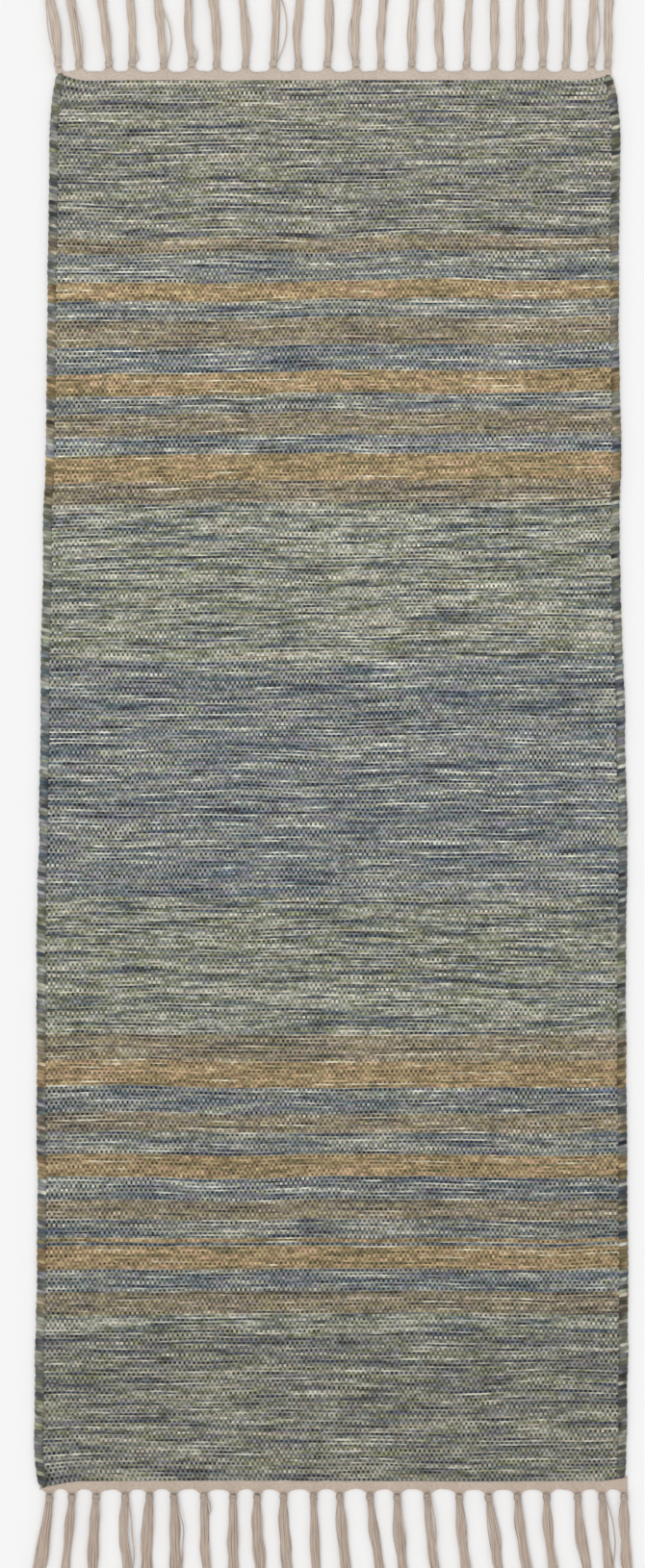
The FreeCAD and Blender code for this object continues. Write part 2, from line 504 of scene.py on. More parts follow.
# The dyed yarns, as the eye sees them
CHARCOAL = linear(66, 66, 64)
NAVY = linear(68, 78, 106)
DENIM = linear(92, 108, 132)
TEAL = linear(82, 104, 104)
STEEL = linear(126, 136, 142)
MIST = linear(168, 172, 164)
CREAM = linear(198, 196, 178)
OLIVE = linear(112, 114, 82)
MOSS = linear(146, 152, 108)
LILAC = linear(142, 128, 142)
OCHRE = linear(142, 123, 84)
SAND = linear(181, 158, 120)
PEACH = linear(188, 150, 126)
ROSE_TAN = linear(164, 146, 128)
UNBLEACHED = linear(194, 190, 180)

# What each kind of stripe is mixed from, as shares of a strand's run
MIXES = {
    "neutral": [(NAVY, 0.8), (CHARCOAL, 1.6), (LILAC, 1.4), (STEEL, 1.4), (OLIVE, 1.6), (MOSS, 1.6),
                (MIST, 1.6), (ROSE_TAN, 1.4), (CREAM, 1.4)],
    "sage": [(DENIM, 0.9), (CHARCOAL, 1.3), (TEAL, 0.6), (STEEL, 1.8), (OLIVE, 1.2), (MOSS, 2.0), (MIST, 2.2),
             (CREAM, 1.8), (ROSE_TAN, 1.0)],
    "blue": [(NAVY, 1.2), (CHARCOAL, 0.4), (DENIM, 2.4), (TEAL, 1.4), (STEEL, 3.6), (LILAC, 0.9), (MOSS, 1.8),
             (MIST, 2.0), (CREAM, 0.1)],
    "ochre": [(OLIVE, 2.0), (OCHRE, 3.4), (SAND, 2.0), (OCHRE, 1.6), (PEACH, 1.5), (SAND, 1.2), (CREAM, 0.2)],
}

# The kinds of stripe: shares of ochre, blue and sage in the filling, the rest being neutral,
# and how light the stripe is
KINDS = {
    "ground": (0.05, 0.22, 0.15, 0.92),
    "sage": (0.00, 0.13, 0.82, 1.00),
    "blue": (0.00, 0.80, 0.08, 1.04),
    "slate": (0.00, 0.50, 0.20, 1.03),
    "tan": (0.45, 0.02, 0.05, 0.90),
    "ochre": (0.97, 0.00, 0.00, 1.01),
}
CARDING = 0.34                 # carding brings the hues of a mix's yarns this far together
LENGTH_PAINTED_LIGHT = 0.16             # painted light: the filling is painted lighter by this much a metre towards the finish, as if lit more strongly there

# The weaving plan, in order: each stripe's kind and where it ends, in mm from the middle
STRIPES = [
    ("ground", -577), ("sage", -555), ("tan", -537), ("blue", -509), ("ochre", -484),
    ("slate", -465), ("tan", -437), ("blue", -415), ("ochre", -391), ("slate", -371),
    ("tan", -350), ("blue", -323), ("ochre", -299), ("tan", -271), ("sage", -126),
    ("blue", 119), ("sage", 286), ("tan", 307), ("ochre", 333), ("blue", 356),
    ("tan", 380), ("slate", 398), ("ochre", 420), ("blue", 446), ("tan", 470),
    ("slate", 493), ("ochre", 515), ("slate", 542), ("tan", 564), ("ground", 800),
]


def stripe_tones(n, row):
    """(ochre, blue and sage shares, lightness with painted light rising towards the finish) of the stripe
    that a row of filling lies in.
    """
    mingle = n.noise(0.5, n.times(row, MINGLE_STEP), MINGLE_LAYER)
    mingle = n.smooth(mingle, *NOISE_SPAN, 0.5 - STRIPE_MIX, 0.5 + STRIPE_MIX)
    place = n.math("DIVIDE", n.plus(row, mingle), float(ROWS))
    plan = []
    tone = []
    start = 0.0
    for kind, end in STRIPES:
        ochre, blue, sage, light = KINDS[kind]
        plan.append((start, (ochre, blue, sage)))
        tone.append((start, (light / 2, light / 2, light / 2)))
        start = (end * MM + FIELD_END) / (2 * FIELD_END)
    shares = n.add("ShaderNodeSeparateColor")
    n.plug(shares.inputs[0], n.ramp(place, plan, "CONSTANT"))
    # The tone ramp holds half of each lightness, so that it stays below 1; this doubles it again and adds
    # painted light rising towards the finish
    span = 2 * FIELD_END * LENGTH_PAINTED_LIGHT
    along = n.plus(n.times(place, 2 * span), 2 - span)
    return shares.outputs, n.shaded(n.ramp(place, tone, "CONSTANT"), along)


def carded(mix):
    """A mix's yarns with their hues brought nearer to the mix's own; each stays as light as it was."""
    weights = np.array([0.2126, 0.7152, 0.0722])
    yarns = np.array([colour for colour, _ in mix])
    shares = np.array([share for _, share in mix])
    mean = shares @ yarns / shares.sum()
    plain = np.outer(yarns @ weights, mean / (mean @ weights))
    softened = yarns * (1 - CARDING) + plain * CARDING
    starts = np.append(0.0, np.cumsum(shares)[:-1]) / shares.sum()
    return [(float(at), tuple(colour)) for at, colour in zip(starts, softened)]


def melange(n, u, lane, stripe, lean):
    """Colour of one strand of filling: long dyed runs, mixed for the stripe that it is in.

    lean is how far the strand leans to its mix's lighter yarns.
    """
    shares, light = stripe
    drift = n.smooth(n.pattern(u, lane, DYE_PATCHES), *NOISE_SPAN, -DYE_DRIFT, DYE_DRIFT)
    blue_share = n.plus(shares[1], drift, clamp=True)
    runs = n.pattern(u, lane, RUNS, detail=2.0)
    runs = n.plus(n.smooth(runs, *RUN_SPAN), lean, clamp=True)
    colours = {name: n.ramp(runs, carded(mix)) for name, mix in MIXES.items()}
    colour = n.mix(shares[2], colours["neutral"], colours["sage"])
    colour = n.mix(blue_share, colour, colours["blue"])
    colour = n.mix(shares[0], colour, colours["ochre"])
    slub = n.pattern(u, lane, SLUBS, detail=1.0)
    slub = n.smooth(slub, *NOISE_SPAN, 1 - SLUB_TONE, 1 + SLUB_TONE)
    throw = n.smooth(n.pattern(u, lane, THROWS), *WIDE_SPAN, 1 - THROW_TONE, 1 + THROW_TONE)
    return n.shaded(n.tinted(colour, light), n.times(slub, throw))


def rows_at(n, v):
    """(rows counted from the starting end, the whole row, the share of it) at a flat place."""
    rows = n.math("DIVIDE", n.plus(v, FIELD_END), 2 * FIELD_END / ROWS)
    row = n.math("FLOOR", rows)
    return rows, row, n.minus(rows, row)


def lane_of(n, row, lane):
    """The lane of noise that a row's strands take."""
    return n.plus(n.times(row, 2.0), lane)


def crossings(n, u, row, stripe):
    """(how far the filling dips, how far it crowns) where a row crosses the warp ends, as the strengths of
    the painted dip shade, which also sinks the bump, and of the painted crown highlight.

    Two warp ends make one turn of the filling, and the next row lies half a turn along.
    """
    ends = n.math("DIVIDE", n.plus(u, FIELD_WIDTH / 2), FIELD_WIDTH / ENDS)
    turn = n.times(n.plus(ends, row), 0.5)
    in_turn = n.math("FRACT", turn)
    dip = n.smooth(n.apart(in_turn, DIP_PLACE), *DIP_SPAN)
    crown = n.smooth(n.apart(in_turn, CROWN_PLACE), *CROWN_SPAN)
    cell = n.math("FLOOR", n.times(turn, 2.0))
    own = n.smooth(n.pattern(cell, row, CELLS), *NOISE_SPAN, CELL_LEAST, 1.0)
    firm = n.smooth(n.pattern(u, row, FIRMNESS, detail=1.0), *NOISE_SPAN, FIRM_LEAST, 1.0)
    firm = n.times(firm, own)
    ochre, blue = stripe[0][0], stripe[0][1]
    filled = n.times(n.times(ochre, ochre), OCHRE_FILL)
    firm = n.minus(n.plus(firm, n.times(blue, BLUE_DIP)), filled, clamp=True)
    return n.times(dip, firm), n.times(crown, firm)


def weave_material():
    """Weft-faced plain weave: the filling dips and crowns in every row, and runs smooth between; painted
    shade darkens the dips and the grooves between rows, and a painted highlight lightens the crowns.
    """
    n = Nodes("melange_weave")
    u, v = n.cloth_map()
    rows, row, in_row = rows_at(n, v)
    stripe = stripe_tones(n, row)
    between = n.math("FLOOR", n.plus(rows, 0.5))
    crossing = melange(n, u, lane_of(n, row, CROSSING_LANE), stripe, -STRAND_LEAN)
    smooth = melange(n, u, lane_of(n, between, SMOOTH_LANE), stripe, STRAND_LEAN)
    off_row = n.apart(in_row, 0.5)
    spread = n.pattern(u, row, THICKNESS, detail=1.0)
    spread = n.smooth(spread, *NOISE_SPAN, -STRIP_SPREAD, STRIP_SPREAD)
    in_strip = n.smooth(n.minus(off_row, spread), STRIP_HALF + STRIP_BLUR, STRIP_HALF - STRIP_BLUR)
    dip, crown = crossings(n, u, row, stripe)
    # Painted shade where the filling dips; the same mask also sinks the bump there
    dip_shade_and_depth = n.times(dip, in_strip)
    # Painted highlight on the crowns
    crown_highlight = n.times(crown, in_strip)
    shade = n.minus(1.0, n.times(dip_shade_and_depth, DIP_PAINTED_SHADE))
    shade = n.times(shade, n.plus(1.0, n.times(crown_highlight, CROWN_PAINTED_HIGHLIGHT)))
    # Painted shade in the groove between two rows
    ridge = n.smooth(off_row, *GROOVE_SPAN, 1.0, 0.0)
    shade = n.times(shade, n.plus(1 - GROOVE_PAINTED_SHADE, n.times(ridge, GROOVE_PAINTED_SHADE)))
    fibre = n.pattern(u, v, FIBRE, detail=2.0)
    shade = n.times(shade, n.smooth(fibre, *WIDE_SPAN, *FIBRE_TONE))
    colour = n.shaded(n.mix(in_strip, smooth, crossing), shade)
    # The crowns' painted highlight leans towards the unbleached end's cream
    colour = n.mix(n.times(crown_highlight, CROWN_CREAM_HIGHLIGHT), colour, (*UNBLEACHED, 1))
    height = n.minus(n.times(fibre, FIBRE_RELIEF), n.times(dip_shade_and_depth, DIP_RELIEF))
    roughness = n.smooth(fibre, *NOISE_SPAN, 0.95, 0.82)
    return n.cloth_shader(colour, height, 0.25 * MM, roughness, SHEEN)


WEAVE = weave_material()


# ================================================================ the cloth
def weave_height(column, line):
    """Plain-weave relief on the lattice, from -1 in a pit to 1 on a float of filling."""
    over = (column // 2 + line // 2) % 2 == 0
    in_cell_x = column % 2 == 1
    in_cell_y = line % 2 == 1
    height = np.where(in_cell_x, FURROW, PIT)
    height = np.where(in_cell_y & ~in_cell_x, BESIDE, height)
    return np.where(in_cell_y & in_cell_x, np.where(over, FLOAT, DIP), height)


def bend_piece(piece):
    """Bakes a crossing piece's placement into its mesh; it is not bent round its fold line here."""
    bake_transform(piece)


def cloth_piece(name, low_line, high_line, nodes, body=None, blend=None):
    """One stretch of the woven field, with the relief of the yarn on both faces."""
    bm = grid_pair(2 * ENDS, high_line - low_line)
    column, line, layer = lattice(bm)
    line = line + low_line
    piece = new_piece(name, bm, WEAVE, body)
    u = (column / (2 * ENDS) - 0.5) * FIELD_WIDTH
    v = flat_y(line)
    x, y = place_on_cloth(u, v)
    slow = SURFACE_WAVE * soft_noise(u, v, *FLOOR_WAVE)
    relief = WEAVE_RELIEF * weave_height(column, line)
    top = CLOTH_TOP - WEAVE_RELIEF - SURFACE_WAVE / 2 + relief + slow / 2
    bottom = WEAVE_RELIEF - WEAVE_RELIEF * weave_height(column + 2, line)
    set_places(piece, x, y, np.where(layer == 1, top, bottom))
    set_map(piece, u, v)
    if blend:
        bend_piece(piece)
    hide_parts(*nodes)
    return piece


def cloth_sections():
    """(name, low place, high place, body or blend) of every stretch along the rug."""
    sections = []
    sides = {}
    for end_name, sign in SIDES.items():
        inner = None
        for number in (1, 2, 3):
            joint = FOLDS[f"{end_name}_{number}"]
            hinge = joint["pos_m"][1]
            near = hinge - sign * HINGE_REACH
            far = hinge + sign * HINGE_REACH
            bend = (joint["parent"], joint["child"], hinge, sign)
            sections.append((f"bend_{end_name}_{number}", near, far, bend))
            if inner is not None:
                sections.append((f"{end_name}_{number - 1}", inner, near, joint["parent"]))
            else:
                sides[sign] = near
            inner = far
        sections.append((f"{end_name}_3", inner, sign * FIELD_END, f"{end_name}_3"))
    sections.append(("middle", sides[-1], sides[1], "middle"))
    return [(name, min(a, b), max(a, b), how) for name, a, b, how in sections]


def make_cloth():
    """The field, stretch by stretch: (piece, first line, last line) by name."""
    made = {}
    for name, low, high, how in cloth_sections():
        low_line, high_line = row_at(low), row_at(high)
        bends = isinstance(how, tuple)
        nodes = [] if bends else [f"weave_{how}"]
        piece = cloth_piece(f"weave_{name}_cloth", low_line, high_line, nodes,
                            None if bends else how, how if bends else None)
        made[name] = (piece, low_line, high_line)
    return made


CLOTH = make_cloth()


# ================================================================ selvedges
SELVEDGE_SIDES = 14
SELVEDGE_FINE = 2              # rings to each lattice line
SELVEDGE_TUCK = 0.7 * MM       # the band's inner side lies this far over the weave
TURN_ROWS = 2                  # rows of filling to each turn round the edge cords
TURN_SLANT = 0.28              # the turns lean towards the weave, as a share of the band's width
ROUND_END = 7.0 * MM           # the band rounds off over this length at the corners
END_TAPER = 0.85               # and is this much of the way shut at its end
TURN_DEPTH = 0.16              # depth of the groove between two turns, as a share of the band
TURN_ROUND = 0.5               # a smaller number makes fuller turns
TURN_UNEVEN = 0.05             # how much one turn differs from another
TURN_SEED = 70
BAND_ROUND = (0.75, 0.8)       # below 1 the band is squarer than an oval, across and upwards
BLOCK_SPAN = (0.36, 0.62)      # the turns' own lightness: how sharply it changes
BLOCK_TONE = (0.46, 1.06)      # and between which shades
RIGHT_SHADE = 0.86             # the right selvedge is a shade darker
TURN_GROOVE_SHADE = (0.50, 0.28, 0.62)  # painted shade in the groove between turns: a turn is painted darker between these distances from its middle, to this


def open_strip(sides, rings):
    """A flat strip that set_places rolls into a tube: column round, line along."""
    bm = bmesh.new()
    bmesh.ops.create_grid(bm, x_segments=sides, y_segments=rings, size=0.5)
    bmesh.ops.scale(bm, vec=(sides, rings, 1), verts=bm.verts)
    bmesh.ops.translate(bm, vec=(sides / 2, rings / 2, 0), verts=bm.verts)
    return bm


def selvedge_material():
    """The filling turned round the edge cords: each row a slanting block of its own yarn, with painted shade
    in the grooves between turns.
    """
    n = Nodes("melange_selvedge")
    u, v = n.cloth_map()
    inward = n.minus(MEAN_HALF, n.math("ABSOLUTE", u))
    _, row, in_row = rows_at(n, n.plus(v, n.times(inward, TURN_SLANT)))
    colour = melange(n, u, lane_of(n, row, CROSSING_LANE), stripe_tones(n, row), 0.0)
    block = n.smooth(n.pattern(row, u, EDGE_TURNS, detail=1.0), *BLOCK_SPAN, *BLOCK_TONE)
    block = n.times(block, n.smooth(u, -0.1, 0.1, 1.0, RIGHT_SHADE))
    # Painted shade in the grooves between turns; the same mask also shapes the bump
    edge = n.smooth(n.apart(in_row, 0.5), *TURN_GROOVE_SHADE, 1.0)
    fibre = n.pattern(u, v, EDGE_FIBRE, detail=2.0)
    shade = n.times(n.times(block, edge), n.smooth(fibre, *WIDE_SPAN, *FIBRE_TONE))
    height = n.plus(n.times(fibre, FIBRE_RELIEF), edge)
    return n.cloth_shader(n.shaded(colour, shade), height, 0.3 * MM, 0.88, SHEEN)


SELVEDGE = selvedge_material()


def selvedge_piece(name, side, low_line, high_line, body=None, blend=None):
    """One stretch of the corded edge: filling turned round bundled outer ends."""
    rings = (high_line - low_line) * SELVEDGE_FINE
    bm = open_strip(SELVEDGE_SIDES, rings)
    column, ring, _ = lattice(bm)
    piece = new_piece(name, bm, SELVEDGE, body)
    v = flat_y(low_line + ring / SELVEDGE_FINE)
    angle = 2 * np.pi * column / SELVEDGE_SIDES
    across = np.cos(angle)
    up = np.sin(angle)
    slant = TURN_SLANT * SELVEDGE_WIDTH / 2 * (1 - side * across)
    turn = (v + slant + FIELD_END) / (2 * FIELD_END) * ROWS / TURN_ROWS
    rise = np.abs(np.sin(np.pi * turn)) ** TURN_ROUND
    turns = np.random.default_rng(TURN_SEED + side).uniform(-1, 1, ROWS)
    own = turns[np.floor(turn).astype(int) % ROWS]
    closed = np.clip(1 - (FIELD_END - np.abs(v)) / ROUND_END, 0, 1)
    swell = (1 - TURN_DEPTH * (1 - rise) + TURN_UNEVEN * own) * np.sqrt(1 - END_TAPER * closed ** 2)
    half_wide = SELVEDGE_WIDTH / 2 + SELVEDGE_TUCK / 2
    half_thick = SELVEDGE_THICKNESS / 2
    wide = half_wide * np.sign(across) * np.abs(across) ** BAND_ROUND[0] * swell
    high = half_thick * np.sign(up) * np.abs(up) ** BAND_ROUND[1] * swell
    middle = edge_at(v, side) - side * half_wide
    flat_x = side * (MEAN_HALF - half_wide)
    y = v + row_shift(flat_x, v)
    set_places(piece, middle + wide, y, half_thick + high)
    set_map(piece, flat_x + half_wide * across, v)
    turn_outward(piece, rolled=True)
    if blend:
        bend_piece(piece)
    else:
        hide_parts(f"selvedges_{body}")
    return piece


def make_selvedges():
    """Both corded edges, stretch by stretch, by the stretch's name and the side."""
    made = {}
    for name, low, high, how in cloth_sections():
        bends = isinstance(how, tuple)
        for side, word in ((-1, "left"), (1, "right")):
            made[name, word] = selvedge_piece(
                f"selvedge_{word}_{name}", side, row_at(low), row_at(high),
                None if bends else how, how if bends else None)
    return made


# ================================================================ headings
HEADING_COLUMNS = 520
HEADING_LINES = 12
HEADING_INSET = 1.2 * MM
HEADING_LAP = 0.8 * MM         # it laps this far over the last row of the weave
HEM_WANDER = 0.6 * MM          # small unevenness of its outer edge
TONGUE_OUT = 1.6 * MM          # the tongues reach this far past the heading, into the knots
TONGUE_LIFT = 1.2 * MM         # and are lifted this far off the floor
RIM_SHARE = 0.2                # the outer share of the heading that thins towards its rim
RIM_THIN = 0.3
RIM_LIFT = 0.5 * MM
KNOT_Y = next(j["pos_m"][1] for j in frame["joints"] if j["name"] == "swing_finish_01")
# The cotton's shades: fine lines, larger patches, and painted light that leaves the start end darker
COTTON_LINES = [(0.25, linear(184, 169, 155)), (0.45, linear(204, 190, 176)),
                (0.75, linear(220, 208, 194))]
COTTON_TONES = [(0.3, (0.93, 0.91, 0.90)), (0.7, (1.03, 1.02, 1.01))]
PAINTED_FALLOFF_START = (0.85, 0.82, 0.81)
PAINTED_FALLOFF_SPAN = 0.3


def cotton_material(name, lines, relief, finish_tone, knot_painted_shade):
    """Unbleached cotton in fine lines, painted darker towards the start end as light falling off, and with
    painted shade at the knots where it is asked for.
    """
    n = Nodes(name)
    u, v = n.cloth_map()
    fine = n.pattern(u, v, lines, detail=2.0)
    patches = n.pattern(u, v, COTTON_PATCHES, detail=1.0)
    colour = n.tinted(n.ramp(fine, COTTON_LINES), n.ramp(patches, COTTON_TONES))
    finish_colour = (finish_tone, finish_tone, finish_tone)
    # Painted light: the cotton is painted darker towards the start end than towards the finish
    painted_falloff = n.ramp(n.smooth(v, -PAINTED_FALLOFF_SPAN, PAINTED_FALLOFF_SPAN), [(0.0, PAINTED_FALLOFF_START), (1.0, finish_colour)])
    # Painted shade on the knots and the roots of the tassels
    knot_shading = n.smooth(n.math("ABSOLUTE", v), KNOT_Y + 4 * MM, KNOT_Y + 12 * MM, knot_painted_shade, 1.0)
    colour = n.shaded(n.tinted(colour, painted_falloff), knot_shading)
    return n.cloth_shader(colour, fine, relief, 0.9, SHEEN)


HEADING = cotton_material("cotton_heading", (300.0, 900.0, 0.0), 0.35 * MM, 0.93, 1.0)
FRINGE = cotton_material("cotton_fringe", (900.0, 60.0, 0.0), 0.25 * MM, 1.0, KNOT_PAINTED_SHADE)


def knot_places(end_name):
    """Centres of the knots along one end, left to right, from the tassels' hinges."""
    joints = [j for j in frame["joints"] if j["name"].startswith(f"swing_{end_name}_")]
    return [Vector(j["pos_m"]) for j in joints]


def tongues(x, places, shape):
    """1 where the heading runs into a knot, falling in a round hollow to 0 half-way to the next."""
    knots = np.array([p.x for p in places])
    middles = (knots[1:] + knots[:-1]) / 2
    nearest = np.searchsorted(middles, x)
    off = x - knots[nearest]
    spans = np.diff(knots) / 2
    right = np.append(spans, spans[-1])[nearest]
    left = np.append(spans[0], spans)[nearest]
    reach = np.where(off > 0, right, left)
    fall = np.clip((reach - np.abs(off)) / np.maximum(reach - TONGUE_HALF, MM), 0, 1)
    return fall ** shape


def heading_piece(end_name, sign):
    """The plain cotton band that closes the weave, drawn into tongues that feed the knots."""
    node = f"heading_{end_name}"
    places = knot_places(end_name)
    bm = grid_pair(HEADING_COLUMNS, HEADING_LINES)
    column, line, layer = lattice(bm)
    piece = new_piece(f"{node}_cotton", bm, HEADING, f"{end_name}_3")
    share = column / HEADING_COLUMNS
    out = line / HEADING_LINES if sign > 0 else 1 - line / HEADING_LINES
    low = min(edge_at(sign * FIELD_END, -1) + HEADING_INSET, places[0].x - TONGUE_HALF)
    high = max(edge_at(sign * FIELD_END, 1) - HEADING_INSET, places[-1].x + TONGUE_HALF)
    x = low + (high - low) * share
    u = (share - 0.5) * 2 * (MEAN_HALF - HEADING_INSET)
    inner = sign * (np.abs(sign * FIELD_END + row_shift(u, sign * FIELD_END)) - HEADING_LAP)
    tongue = tongues(x, places, HOLLOW_SHAPE[end_name])
    ragged = HEM_WANDER * soft_noise(x, 0 * x, *HEM_WAVE)
    outer = sign * (HEADING_END - HOLLOW_DEPTH + ragged + (HOLLOW_DEPTH + TONGUE_OUT) * tongue)
    y = inner + (outer - inner) * out
    rim = np.clip((out - (1 - RIM_SHARE)) / RIM_SHARE, 0, 1) ** 2
    gather = tongue * out ** 3
    top = HEADING_THICKNESS * (1 - RIM_THIN * rim * (1 - tongue)) + TONGUE_RISE * gather
    bottom = RIM_LIFT * rim + TONGUE_LIFT * gather
    set_places(piece, x, y, np.where(layer == 1, top, bottom))
    set_map(piece, x, y)
    turn_outward(piece, rolled=False)
    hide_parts(node)
    return piece


# ================================================================ tassels
TASSEL_SIDES = 5
TASSEL_RINGS = 12
KNOT_RINGS = 26
GOLDEN = math.pi * (3 - math.sqrt(5))
HAIR_RADIUS = 0.38 * MM
STRAY_RADIUS = 0.75 * MM
STRAND_SPREAD = (0.9, 1.15)    # thinner and thicker strands
TIP_TAPER = 0.7                # a strand's last ring is this much of its radius
TIP_SPREAD = 5.0               # the strands end up to this far apart, in mm
CORE_SHARE = 0.8               # the bundle's solid heart, as a share of its height
CORE_SHORT = 6.0 * MM          # and how far it stops short of the tips
BUNDLE_START = 3.0 * MM        # the strands start this far inside the knot's middle
# Half the bundle's width: under the knot, just below it, a third of the way, and at the tip
WIDTH_PLACES = [0, 0.08, 0.33, 1]
BUNDLE_WIDTHS = {"finish": [2.1, 2.6, 3.4, 4.2], "start": [2.3, 2.9, 3.9, 4.8]}
# Half its height at four places, and the height of its middle at three
HEIGHT_PLACES = [0, 0.1, 0.5, 1]
BUNDLE_HEIGHTS = [2.2, 2.5, 2.4, 2.1]
MIDDLE_PLACES = [0, 0.2, 1]
MIDDLE_HEIGHTS = [3.8 * MM, 3.1 * MM]
BUNDLE_SWAY = np.array([2.0, 1.6, 0.7]) * MM   # one, two and five half waves to the tassel
BUNDLE_BULGE = 0.13            # how much it thickens and thins
BUNDLE_LEAN = 1.4              # above 1 the tassel leans later on its way to the tip
FLARE = 1.4 * MM               # some strands bow out by this much
LOOSE_STRANDS = 2              # the last strands of each tassel lie outside its bundle
# The knot: half its width and height, and the radius, pitch and slant of its wrapped strands
KNOT_HALF_WIDE = 3.5 * MM
KNOT_HALF_HIGH = 2.8 * MM
KNOT_STRAND_RADIUS = 1.15 * MM
KNOT_PITCH = 1.55 * MM
KNOT_SLANT = 3.4 * MM
KNOT_TURNS = 1.15
KNOT_START = 0.1
KNOT_ROUND = 0.35              # a smaller number makes a fuller knot
KNOT_WAIST = 0.09              # the outer wraps sink in by this share
TONE_STEP = 0.004              # how far the fine lines shift round one strand
# Tassels that are fluffed out wider than the rest, and by how much
FLUFFED = {"finish": {7: 1.25, 5: 1.15}, "start": {1: 1.55, 3: 1.25, 5: 1.45, 6: 1.25, 9: 1.2}}
# Loose loops beside a tassel: its number, how far the loop stands off to which side in mm, and
# where along the tassel it is widest
STRAYS = {
    "finish": {1: (-4.5, 0.40), 2: (3.5, 0.35), 4: (4.0, 0.10), 5: (6.5, 0.32), 6: (4.5, 0.13),
               9: (9.0, 0.40), 12: (-4.0, 0.30), 18: (3.0, 0.20), 21: (5.5, 0.36)},
    "start": {4: (5.0, 0.46), 6: (4.5, 0.42), 7: (4.0, 0.14), 15: (3.0, 0.30), 21: (7.0, 0.40)},
}


def strand_frame(path):
    """Two directions across a path at every point, for the ring of a tube."""
    along = np.gradient(path, axis=0)
    along /= np.linalg.norm(along, axis=1, keepdims=True)
    side = np.cross(along, np.array([0.31, 0.17, 0.93]))
    side /= np.linalg.norm(side, axis=1, keepdims=True)
    return side, np.cross(along, side)


def tube_points(path, radius, sides):
    """Ring points of a tube: one row for each point of the path."""
    side, rise = strand_frame(path)
    angle = 2 * np.pi * np.arange(sides + 1) / sides
    ring = np.cos(angle)[None, :, None] * side[:, None] + np.sin(angle)[None, :, None] * rise[:, None]
    return path[:, None] + np.asarray(radius).reshape(-1, 1, 1) * ring


def bundle_paths(end_name, number, knot, tip_x, sign, rng):
    """Paths, radii and flatness of the strands below a knot, and of the body they lie on."""
    t = np.linspace(0, 1, TASSEL_RINGS + 1)
    start_y = abs(knot.y) - BUNDLE_START
    sway = rng.uniform(-1, 1, 3) * BUNDLE_SWAY
    bow = sway[0] * np.sin(np.pi * t)
    bow = bow + (sway[1] * np.sin(2 * np.pi * t) + sway[2] * np.sin(5 * np.pi * t)) * t
    middle_x = knot.x + (tip_x - knot.x) * t ** BUNDLE_LEAN + bow
    fluff = FLUFFED[end_name].get(number, rng.uniform(0.88, 1.12))
    half_wide = np.interp(t, WIDTH_PLACES, BUNDLE_WIDTHS[end_name]) * MM
    half_wide = half_wide * (1 + (fluff - 1) * t ** 0.6)
    bulge = np.sin(2 * np.pi * (t * rng.uniform(1.5, 2.8) + rng.uniform()))
    half_wide = half_wide * (1 + BUNDLE_BULGE * bulge * np.minimum(4 * t, 1))
    half_high = np.interp(t, HEIGHT_PLACES, BUNDLE_HEIGHTS) * MM
    middle_z = np.interp(t, MIDDLE_PLACES, [knot.z, *MIDDLE_HEIGHTS])
    stray = STRAYS[end_name].get(number)
    made = []
    for strand in range(BUNDLE_STRANDS):
        out = math.sqrt((strand + 0.5) / BUNDLE_STRANDS)
        turn = strand * GOLDEN + rng.uniform(-0.3, 0.3) + rng.uniform(-0.6, 0.6) * t
        wave = rng.uniform(0.3, 0.9) * MM * np.sin(2 * np.pi * (t * rng.uniform(0.6, 2.2) + rng.uniform()))
        end = FRINGE_END - rng.uniform(0, TIP_SPREAD) * MM
        x = middle_x + out * np.cos(turn) * half_wide + wave * t
        y = start_y + (end - start_y) * t
        z = middle_z + out * np.sin(turn) * half_high
        radius = np.full(len(t), STRAND_RADIUS) * rng.uniform(*STRAND_SPREAD)
        if strand % 9 == 4:
            x = x + rng.choice([-1, 1]) * FLARE * t * np.sin(np.pi * t * 0.8)
        if strand >= BUNDLE_STRANDS - LOOSE_STRANDS:
            reach = rng.uniform(0.5, 2.0)
            side = rng.choice([-1, 1])
            widest = rng.uniform(0.25, 0.45)
            loose = stray and strand == BUNDLE_STRANDS - 1
            if loose:
                side = np.sign(stray[0])
                reach = abs(stray[0])
                widest = stray[1]
            loop = np.sin(np.pi * np.minimum(t / (2 * widest), 1))
            x = middle_x + side * (0.7 * half_wide + (reach * MM + 0.3 * half_wide) * loop)
            radius = np.full(len(t), STRAY_RADIUS if loose else HAIR_RADIUS)
        radius[-1] *= TIP_TAPER
        z = np.maximum(z, radius)
        made.append((np.stack([x, sign * y, z], axis=1), radius, 1.0))
    y = start_y + (FRINGE_END - CORE_SHORT - start_y) * t
    core_high = CORE_SHARE * half_high
    core = np.stack([middle_x, sign * y, np.maximum(middle_z, core_high)], axis=1)
    made.append((core, core_high, half_wide / half_high))
    return made


